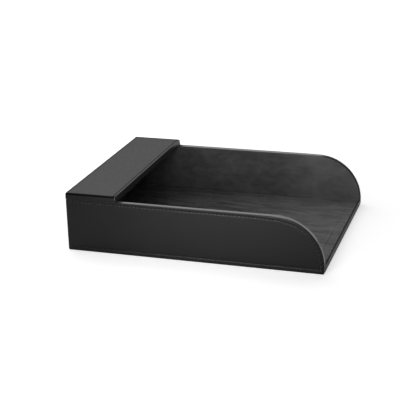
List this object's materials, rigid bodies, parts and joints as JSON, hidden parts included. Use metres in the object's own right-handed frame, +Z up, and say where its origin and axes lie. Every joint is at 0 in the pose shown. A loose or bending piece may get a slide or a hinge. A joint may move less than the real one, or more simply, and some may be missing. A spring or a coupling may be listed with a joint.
{
  "type": "letter tray",
  "caption": "Front-loading letter tray of leather-wrapped boards with a napped lining, low walls with quarter-round front corners and a wide ledge across the back",
  "frame": {"origin": "on the desk, under the middle of the tray: the centre of the bottom of its bounding box", "axes": "+X to the right seen from the open front, +Y from the open front to the back wall, +Z up"},
  "size_m": [0.262, 0.338, 0.078],
  "materials": {
    "leather": "smooth black leather, semi-gloss, fine grain, dashed top stitching near the edges",
    "lining": "black napped lining with a soft streaky pile",
    "felt": "thin black felt",
    "board": "plain fibreboard, covered",
    "pin": "bare headless brads",
    "dowel": "plain hardwood dowels"
  },
  "bodies": {
    "root": {"base_board": "board", "left_side_board": "board", "right_side_board": "board", "back_board": "board", "ledge_board": "board", "left_side_leather": "leather", "right_side_leather": "leather", "back_leather": "leather", "front_edge_leather": "leather", "ledge_leather": "leather", "left_side_lining": "lining", "right_side_lining": "lining", "back_lining": "lining", "base_lining": "lining", "ledge_lining": "lining", "bottom_felt": "felt", "base_side_brads": "pin", "back_side_brads": "pin", "back_foot_brads": "pin", "ledge_dowels": "dowel"}
  },
  "joints": []
}
